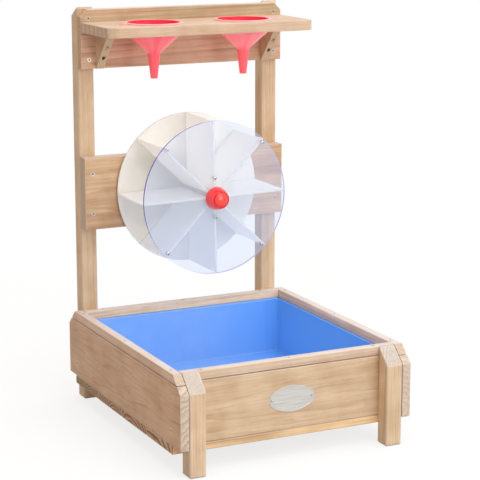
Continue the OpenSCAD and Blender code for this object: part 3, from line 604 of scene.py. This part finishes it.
rivet = turned("rivet", [(0.4, 1.9), (1.6, 1.6), (2.6, 0.9), (3.0, 0), (3.0, -0.6), (1.6, -0.6), (1.6, -12)],
               sides=24)
seats = [((PLATE_X + side * RIVET_REACH, RIVET_SEAT_Y, PLATE_Z), FRONT) for side in BOTH]
rivets = set_copies("oval_plate_rivets", rivet, seats, zinc)
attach(rivets, "frame")

# Axle
# A zinc-plated hexagon bolt through the wheel board, with a sleeve for the wheel to run on, a spacer of
# white nylon, and a washer at each end. The knob's thread clamps them all.
for node in ("axle_bolt", "axle_sleeve", "axle_washers"):
    finish_node(node, zinc)

# Turned nylon: milky white, waxy, with faint tool rings 1.5 mm apart
nylon, shader, place = new_material("turned nylon, white", Subsurface_Weight=0.4, Subsurface_Scale=0.004)
tooled = add_node(nylon, "TexWave", {"Vector": place, "Scale": marks(1.5) * math.pi / 10}, out="Fac",
                  bands_direction="Y")
tone = add_node(nylon, "ValToRGB", {"Fac": tooled}, stops=[(0.2, "#E9E6DF"), (0.8, "#F4F2EC")])
nylon.node_tree.links.new(tone, shader.inputs["Base Color"])
shine = add_node(nylon, "MapRange", {"Value": tooled, "To Min": 0.4, "To Max": 0.5})
nylon.node_tree.links.new(shine, shader.inputs["Roughness"])
finish_node("axle_spacer", nylon)

# Paddle wheel
# An opal back disc and a clear front disc with eight opal vanes on edge between them, round an eight-sided
# hub of nylon. The sheets are sawn from cast acrylic, glued at the back and screwed through the clear disc.
# The height of the axis and the radius of the discs, in metres
WHEEL_AXIS_Z = 0.497
DISC_EDGE = 0.1755
finish_node("wheel_hub", nylon)

# Opal acrylic: smooth creamy white with a few faint rubbed patches; light goes deeper into the thin vanes. A
# faint glow is painted light for what passes through the sheets, and the vanes' sawn edges get a paler cool
# white and a stronger painted glow
for nodes, edge_axis, depth, painted_glow, dim, pale in (
        (["wheel_back_disc"], None, 0.01, 0.025, "#F5F2EC", "#FAF7F2"),
        ([f"wheel_vane_{i}" for i in range(1, 9)], (0, 1, 0), 0.03, 0.06, "#F7F7EE", "#FCFCF5")):
    opal, shader, place = new_material("cast acrylic sheet, opal", IOR=1.49, Subsurface_Weight=1.0,
                                       Subsurface_Radius=(1, 1, 1), Subsurface_Scale=depth,
                                       Emission_Color=linear("#FFF8EA"), Emission_Strength=painted_glow)
    cloud = add_node(opal, "TexNoise", {"Vector": place, "Scale": marks(33), "Detail": 2})
    tone = add_node(opal, "ValToRGB", {"Fac": cloud}, stops=[(0.3, dim), (0.7, pale)])
    if edge_axis:
        facing = add_node(opal, "TexCoord", out="Normal")
        edge = add_node(opal, "VectorMath", {0: facing, 1: edge_axis}, out="Value", operation="DOT_PRODUCT")
        edge = add_node(opal, "Math", {0: edge}, operation="ABSOLUTE")
        tone = add_node(opal, "Mix", {0: edge, 6: tone, 7: linear("#FAFCFF")}, out=2, data_type="RGBA")
        painted_edge_glow = add_node(opal, "MapRange", {"Value": edge, "From Min": 0.7, "To Min": painted_glow, "To Max": 0.18})
        opal.node_tree.links.new(painted_edge_glow, shader.inputs["Emission Strength"])
    opal.node_tree.links.new(tone, shader.inputs["Base Color"])
    shine = add_node(opal, "MapRange", {"Value": cloud, "To Min": 0.5, "To Max": 0.58})
    opal.node_tree.links.new(shine, shader.inputs["Roughness"])
    for node in nodes:
        finish_node(node, opal)


def from_axle(material, place):
    """How far each point lies from the wheel's axis."""
    across = add_node(material, "Mapping", {"Vector": place, "Location": (0, 0, -WHEEL_AXIS_Z),
                                            "Scale": (1, 0, 1)})
    return add_node(material, "VectorMath", {0: across}, out="Value", operation="LENGTH")


# Clear acrylic: nearly unseen face on, with a cool cast; its sawn edge is violet, with painted light across
# it, darkest at the left and palest at the right, towards the lamp
clear, shader, place = new_material("cast acrylic sheet, clear", IOR=1.49)
edge = add_node(clear, "MapRange", {"Value": from_axle(clear, place), "From Min": DISC_EDGE - 0.0006,
                                    "From Max": DISC_EDGE - 0.0002})
facing = add_node(clear, "TexCoord", out="Normal")
flat = add_node(clear, "VectorMath", {0: facing, 1: (0, 1, 0)}, out="Value", operation="DOT_PRODUCT")
flat = add_node(clear, "Math", {0: flat}, operation="ABSOLUTE")
edge = add_node(clear, "Math", {0: edge, 1: flat}, operation="SUBTRACT", use_clamp=True)
# Painted light on the sawn edge: from dark violet at the left to pale lilac at the right
side = add_node(clear, "SeparateXYZ", {"Vector": place}, out="X")
side = add_node(clear, "MapRange", {"Value": side, "From Min": -DISC_EDGE, "From Max": DISC_EDGE})
sawn = add_node(clear, "ValToRGB", {"Fac": side},
                stops=[(0.1, "#4F3CDC"), (0.6, "#8474E4"), (0.9, "#CDBBEC")])
tone = add_node(clear, "Mix", {0: edge, 6: linear("#C0D3F4"), 7: sawn}, out=2, data_type="RGBA")
clear.node_tree.links.new(tone, shader.inputs["Base Color"])
body = add_node(clear, "MapRange", {"Value": edge, "To Min": 0.2})
shadow = add_node(clear, "LightPath", out="Is Shadow Ray")
body = add_node(clear, "Mix", {0: shadow, 2: body, 3: 0.03})
clear.node_tree.links.new(body, shader.inputs["Alpha"])
haze = add_node(clear, "TexNoise", {"Vector": place, "Scale": marks(25), "Detail": 3})
shine = add_node(clear, "MapRange", {"Value": haze, "To Min": 0.03, "To Max": 0.12})
clear.node_tree.links.new(shine, shader.inputs["Roughness"])
finish_node("wheel_front_disc", clear)

# Cover screws
# Small bright pan-head screws of nickel-plated steel with a cross recess.
# They go through the clear disc into the edges of the vanes and turn with the wheel.
# The front of the clear disc, how far the crown of a head stands before it, and the cross recess
DISC_FACE_Y = 88
COVER_CROWN = 2.1
COVER_CROSS = (1.6, 4.4, 1.5)
cover_screw = turned("cover_screw", [(2.0, 2.67), (3.2, 2.15), (3.8, 1.25), (4.0, 0.3), (4.0, 0.0),
                                     (1.45, 0.0), (1.45, -16), (0.2, -20)], sides=24)
cover_screw.location = (0, 0, -COVER_CROWN / 1000)
bpy.ops.object.transform_apply(location=True, rotation=True, scale=True)
cut_cross(cover_screw, *COVER_CROSS)
# Four near the edge of the disc and two beside the knob, by their distance and turn about the axle
seats = []
for reach, turns in ((167, (45, 135, 225, 315)), (45, (91.2, 271.2))):
    for turn in turns:
        x = reach * math.cos(math.radians(turn))
        z = WHEEL_AXIS_Z * 1000 + reach * math.sin(math.radians(turn))
        seats.append(((x, DISC_FACE_Y - COVER_CROWN, z), FRONT))
# Nickel: brighter and smoother than zinc, so that the round heads flash white; the dark foot round each is
# painted shade
nickel = plated_steel("nickel-plated steel", "#DEDCD8", "#FAF8F4", 0.15, 5)
cover_screws = set_copies("wheel_cover_screws_driven", cover_screw, seats, nickel)
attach(cover_screws, "wheel")
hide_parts("wheel_cover_screws")

# Knob
# A tapered knob of gloss red plastic with a domed cap let into its front, moulded on a threaded bush.
# It clamps the axle from the front.
# The back of the knob and the radius of its cap, in millimetres
KNOB_BACK_Y = 85.6
KNOB_CAP = 16.8
body = [(25.2, 0), (26.1, 0.5), (26.5, 1.6), (26.4, 4), (25.7, 9), (24.6, 14), (23.2, 19), (21.6, 23.5),
        (20.5, 26), (19.8, 27.3), (19.3, 27.9), (18.9, 28.0)]
groove = [(18.5, 25.4), (16.7, 25.4)]
cap = [(16.5, 28.2), (16.0, 29.2), (14.8, 30.3), (12.3, 31.5), (8.8, 32.4), (4.4, 32.9), (0.3, 33)]
knob = turned("knob_turned", body + groove + cap, sides=72)
knob.location = (0, KNOB_BACK_Y / 1000, WHEEL_AXIS_Z)
knob.rotation_euler = (math.pi / 2, 0, 0)
bpy.ops.object.transform_apply(location=True, rotation=True, scale=True)

# ABS from a polished mould: even red with a clear gloss, faint flow marks about 8 mm wide; the cap, moulded
# apart, came out more orange. A faint red glow is painted light that brightens the whole knob
gloss_red, shader, place = new_material("moulded plastic, gloss red", Coat_Weight=0.45, Coat_Roughness=0.06,
                                        Emission_Color=linear("#FF2A20"), Emission_Strength=0.06)
flow = add_node(gloss_red, "TexNoise", {"Vector": place, "Scale": marks(8), "Detail": 2})
tone = add_node(gloss_red, "ValToRGB", {"Fac": flow}, stops=[(0.3, "#FF2C34"), (0.7, "#FF363C")])
capped = add_node(gloss_red, "Math", {0: from_axle(gloss_red, place), 1: KNOB_CAP / 1000},
                  operation="LESS_THAN")
tone = add_node(gloss_red, "Mix", {0: capped, 6: tone, 7: linear("#FF3A2A")}, out=2, data_type="RGBA")
# Painted shade: the groove and other hollows are darkened to a deeper red
open_air = add_node(gloss_red, "AmbientOcclusion", {"Distance": 0.003}, out="AO", samples=8)
open_air = add_node(gloss_red, "MapRange", {"Value": open_air, "From Min": 0.4, "From Max": 0.9})
tone = add_node(gloss_red, "Mix", {0: open_air, 6: linear("#DA242E"), 7: tone}, out=2, data_type="RGBA")
gloss_red.node_tree.links.new(tone, shader.inputs["Base Color"])
shine = add_node(gloss_red, "MapRange", {"Value": flow, "To Min": 0.12, "To Max": 0.22})
gloss_red.node_tree.links.new(shine, shader.inputs["Roughness"])
knob.data.materials.append(gloss_red)
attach(knob, "frame")
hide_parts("knob")

# Funnels
# Two funnels of thin translucent red polypropylene, each moulded in one piece with a flat rim and a tab
# with a hole to hang it by. They hang loose by their rims in the holes of the shelf.
# The rims' level and the level where cone and spout meet, in millimetres
SHELF_TOP = 888
SPOUT_TOP = 822
# The middle of a funnel; then the tab's hole, its rounded end, how far its root is drawn in to the rim, its
# thickness and its level above the shelf, in metres
FUNNEL_X = 0.111
FUNNEL_Y = 0.175
TAB_HOLE_X = 0.074
TAB_HOLE = 0.003
TAB_END = 0.008
TAB_ROOT = 0.009
TAB_THICK = 0.0028
TAB_MIDDLE_Z = 0.0015
outside = [(14.5, SPOUT_TOP), (58.2, 861.2), (59.6, 863.4), (60.5, SHELF_TOP)]
rim = [(65.4, SHELF_TOP), (66, 888.7), (66, 890.3), (65.4, 891), (59.4, 891), (58.5, 890.2)]
inside = [(57.6, 863.8), (56.4, 862), (12.6, 823.2), (6.2, 765.4)]
tip = [(6.6, 765), (7.5, 765), (8, 765.5), (14.0, 818)]
rings = [(radius, z - SHELF_TOP) for radius, z in outside + rim + inside + tip + outside[:1]]
funnel = turned("funnel", rings, sides=96)
bpy.ops.object.select_all(action="DESELECT")
bpy.ops.mesh.primitive_cylinder_add(vertices=32, radius=TAB_END, depth=TAB_THICK,
                                    location=(TAB_HOLE_X, 0, TAB_MIDDLE_Z))
tab = bpy.context.object
bpy.ops.object.transform_apply(location=True, rotation=True, scale=True)
bpy.ops.object.mode_set(mode="EDIT")
select_points(lambda p: p.x < TAB_HOLE_X - HAIR)
bpy.ops.transform.translate(value=(-TAB_ROOT, 0, 0))
bpy.ops.object.mode_set(mode="OBJECT")
combine(funnel, tab, "UNION")
bpy.ops.mesh.primitive_cylinder_add(vertices=32, radius=TAB_HOLE, depth=0.02, location=(TAB_HOLE_X, 0, 0))
combine(funnel, bpy.context.object, "DIFFERENCE")

# Polypropylene 2 mm thick, coral, deeper down the narrow spout. A faint glow is painted light for what passes
# through it;
# the inside is painted deeper red as its shade, and the rim palest as a painted highlight
coral, shader, place = new_material("polypropylene, translucent red", Subsurface_Weight=0.4,
                                    Subsurface_Radius=(1, 0.35, 0.35), Subsurface_Scale=0.006,
                                    Emission_Color=linear("#FF3848"))
mirrored = add_node(coral, "VectorMath", {0: place}, operation="ABSOLUTE")
middle = add_node(coral, "VectorMath", {0: mirrored, 1: (FUNNEL_X, FUNNEL_Y, 0)}, operation="SUBTRACT")
outward = add_node(coral, "VectorMath", {0: middle, 1: (1, 1, 0)}, operation="MULTIPLY")
signs = add_node(coral, "VectorMath", {0: place}, operation="SIGN")
outward = add_node(coral, "VectorMath", {0: outward, 1: signs}, operation="MULTIPLY")
# Soft streaks up the cone, paler and deeper, about 40 degrees wide
around = add_node(coral, "VectorMath", {0: outward}, operation="NORMALIZE")
flow = add_node(coral, "TexNoise", {"Vector": around, "Scale": 1.6, "Detail": 2})
tone = add_node(coral, "ValToRGB", {"Fac": flow}, stops=[(0.38, "#FF6D7A"), (0.62, "#FF959C")])
# The right one is a little paler
right = add_node(coral, "SeparateXYZ", {"Vector": signs}, out="X")
right = add_node(coral, "MapRange", {"Value": right, "To Max": 0.3})
tone = add_node(coral, "Mix", {0: right, 6: tone, 7: linear("#FFB0B6")}, out=2, data_type="RGBA")
# Painted shade: the inside is a darker red with a weaker glow
facing = add_node(coral, "TexCoord", out="Normal")
inner = add_node(coral, "VectorMath", {0: facing, 1: outward}, out="Value", operation="DOT_PRODUCT")
inner = add_node(coral, "MapRange", {"Value": inner, "From Min": 0.0, "From Max": -0.02})
tone = add_node(coral, "Mix", {0: inner, 6: tone, 7: linear("#DC3048")}, out=2, data_type="RGBA")
glow = add_node(coral, "MapRange", {"Value": inner, "To Min": 0.16, "To Max": 0.14})
coral.node_tree.links.new(glow, shader.inputs["Emission Strength"])
level = add_node(coral, "SeparateXYZ", {"Vector": place}, out="Z")
narrow = add_node(coral, "MapRange", {"Value": level, "From Min": (SPOUT_TOP + 12) / 1000,
                                      "From Max": (SPOUT_TOP - 6) / 1000, "To Max": 0.7})
tone = add_node(coral, "Mix", {0: narrow, 6: tone, 7: linear("#FF5462")}, out=2, data_type="RGBA")
# Painted highlight: the rim's top is palest pink
lip = add_node(coral, "MapRange", {"Value": level, "From Min": (SHELF_TOP - 0.2) / 1000,
                                   "From Max": (SHELF_TOP + 1) / 1000, "To Max": 0.75})
lip = add_node(coral, "Math", {0: lip, 1: inner}, operation="SUBTRACT", use_clamp=True)
tone = add_node(coral, "Mix", {0: lip, 6: tone, 7: linear("#FFC8CC")}, out=2, data_type="RGBA")
coral.node_tree.links.new(tone, shader.inputs["Base Color"])
shine = add_node(coral, "MapRange", {"Value": flow, "To Min": 0.18, "To Max": 0.32})
coral.node_tree.links.new(shine, shader.inputs["Roughness"])

for side, x, turn in (("left", -FUNNEL_X, math.pi), ("right", FUNNEL_X, 0)):
    copy = funnel.copy()
    copy.data = funnel.data.copy()
    bpy.context.collection.objects.link(copy)
    copy.name = f"funnel_{side}_moulded"
    copy.location = (x, FUNNEL_Y, SHELF_TOP / 1000)
    copy.rotation_euler = (0, 0, turn)
    bpy.ops.object.select_all(action="DESELECT")
    copy.select_set(True)
    bpy.context.view_layer.objects.active = copy
    bpy.ops.object.transform_apply(location=True, rotation=True, scale=True)
    bpy.ops.object.shade_smooth_by_angle(angle=math.radians(35))
    copy.data.materials.clear()
    copy.data.materials.append(coral)
    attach(copy, f"{side}_funnel")
    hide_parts(f"funnel_{side}")
bpy.data.objects.remove(funnel)

# Studio floor
# A plain floor of white paper under the object, not part of it.
# It takes the object's soft shadow and fades into the white surroundings.
FLOOR_SIZE = 60
FLOOR_Z = -0.0005


def seen_rays(material):
    """One for the rays that show the stage, straight, in gloss or through clear sheet, zero for others."""
    seen = add_node(material, "LightPath", out="Is Camera Ray")
    for kind in ("Is Glossy Ray", "Is Transmission Ray"):
        ray = add_node(material, "LightPath", out=kind)
        seen = add_node(material, "Math", {0: seen, 1: ray}, operation="MAXIMUM")
    return seen


bpy.ops.object.select_all(action="DESELECT")
bpy.ops.mesh.primitive_plane_add(size=FLOOR_SIZE, location=(0, 0, FLOOR_Z))
floor = bpy.context.object
floor.name = "studio_floor"
bpy.ops.object.transform_apply(location=True, rotation=False, scale=False)
# White paper, matt: bright where the room lights it, dimmer under the object, pure white far away
paper, shader, place = new_material("white studio floor", Roughness=0.9, Specular_IOR_Level=0.0,
                                    Emission_Color=linear("#FFFFFF"))
away = add_node(paper, "VectorMath", {0: place}, out="Value", operation="LENGTH")
glow = add_node(paper, "MapRange", {"Value": away, "From Min": 0.5, "From Max": 2.0, "To Min": 0.78})
seen = seen_rays(paper)
glow = add_node(paper, "Math", {0: glow, 1: seen}, operation="MULTIPLY")
paper.node_tree.links.new(glow, shader.inputs["Emission Strength"])
matt = add_node(paper, "Mix", {0: seen, 6: linear("#C4C4C4"), 7: linear("#F4F4F4")}, out=2, data_type="RGBA")
matt = add_node(paper, "Mix", {0: glow, 6: matt, 7: linear("#000000")}, out=2, data_type="RGBA")
paper.node_tree.links.new(matt, shader.inputs["Base Color"])
floor.data.materials.append(paper)

# Light
# A white room, dimmer and warmer to the left, a soft lamp low at the front right, a panel high in front
# and a larger one overhead.
# The point that the lamps look at, and the way to the bright side of the room
LAMP_AIM = Vector((0, 0, 0.45))
BRIGHT_WAY = (0.75, -0.3, 0.6)
room = bpy.data.worlds.new("white room")
bpy.context.scene.world = room
room.use_nodes = True
back = room.node_tree.nodes["Background"]
seen = seen_rays(room)
way = add_node(room, "TexCoord", out="Generated")
side = add_node(room, "VectorMath", {0: way, 1: BRIGHT_WAY}, out="Value", operation="DOT_PRODUCT")
soft = add_node(room, "MapRange", {"Value": side, "From Min": -1, "From Max": 1, "To Min": 0.15,
                                   "To Max": 1.2})
tint = add_node(room, "ValToRGB", {"Fac": soft}, stops=[(0.35, "#FFCFA0"), (0.85, "#FFFFFF")])
tint = add_node(room, "Mix", {0: seen, 6: tint, 7: linear("#FFFFFF")}, out=2, data_type="RGBA")
room.node_tree.links.new(tint, back.inputs["Color"])
level = add_node(room, "Mix", {0: seen, 2: soft, 3: 1.0})
room.node_tree.links.new(level, back.inputs["Strength"])

for name, place, size, energy in (("soft_box", (1.1, -3.6, 0.45), 1.2, 19),
                                  ("front_panel", (0.3, -3.4, 2.4), 2.0, 25),
                                  ("ceiling_panel", (0.0, -0.6, 3.4), 3.4, 45)):
    bpy.ops.object.light_add(type="AREA", location=place)
    lamp = bpy.context.object
    lamp.name = name
    lamp.data.size = size
    lamp.data.energy = energy
    lamp.rotation_euler = (LAMP_AIM - lamp.location).to_track_quat("-Z", "Y").to_euler()

# Camera
# It stands at the front left, a little above the shelf, and looks down at the object through a long lens:
# the viewing angle and distance that the timber's edges give.
# Its place in metres, its turn in degrees, and the lens and sensor in millimetres
CAMERA_PLACE = (-1.59439, -3.32429, 1.21652)
CAMERA_DOWN = 12.243
CAMERA_RIGHT = 25.882
CAMERA_LENS = 126.954
CAMERA_SENSOR = 36
bpy.ops.object.camera_add(location=CAMERA_PLACE,
                          rotation=(math.radians(90 - CAMERA_DOWN), 0, math.radians(-CAMERA_RIGHT)))
camera = bpy.context.object
camera.data.lens = CAMERA_LENS
camera.data.sensor_width = CAMERA_SENSOR
bpy.context.scene.camera = camera
bpy.context.scene.view_settings.view_transform = "Standard"
